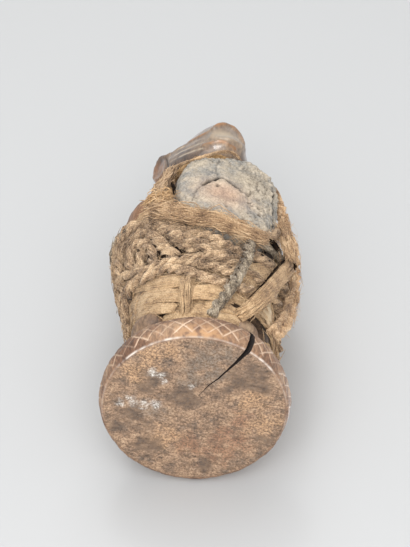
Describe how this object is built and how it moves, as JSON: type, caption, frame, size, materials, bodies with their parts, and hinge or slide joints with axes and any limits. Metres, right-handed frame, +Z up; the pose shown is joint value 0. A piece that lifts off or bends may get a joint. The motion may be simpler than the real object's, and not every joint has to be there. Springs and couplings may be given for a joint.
{
  "type": "nkisi figure",
  "caption": "Small standing power figure: carved wood on a round base, legs and body bound in bast and twisted cord, with a clay charge packed on the back.",
  "frame": {"origin": "middle of the base's flat underside, where the figure stands", "axes": "+Z up through the head, -Y towards the face, +Y towards the back and its clay charge, +X to the figure's left"},
  "size_m": [0.0634, 0.062, 0.1455],
  "materials": {
    "dark_wood": "handled dark brown patina, satin to glossy on the head, dry on the underside",
    "dried_clay": "unfired clay and resin, matt, cracked",
    "bast": "dry bast strips, matt",
    "twisted_cord": "twisted plant fibre, grey-brown, matt",
    "loose_fibre": "loose tan fibre, matt",
    "bast_strip": "flat tan strip, matt",
    "plaited_fibre": "plaited plant fibre, reddish tan, matt",
    "pale_fibre": "thin golden-tan fibre, matt",
    "hide": "dry pale hide, smooth"
  },
  "bodies": {
    "root": {"carved_figure": "dark_wood", "clay_charge": "dried_clay", "bast_wrap": "bast", "wound_cord": "twisted_cord", "fibre_band": "loose_fibre", "cross_band": "bast_strip", "side_plait": "plaited_fibre", "neck_tie": "pale_fibre", "hide_patch": "hide"}
  },
  "joints": []
}
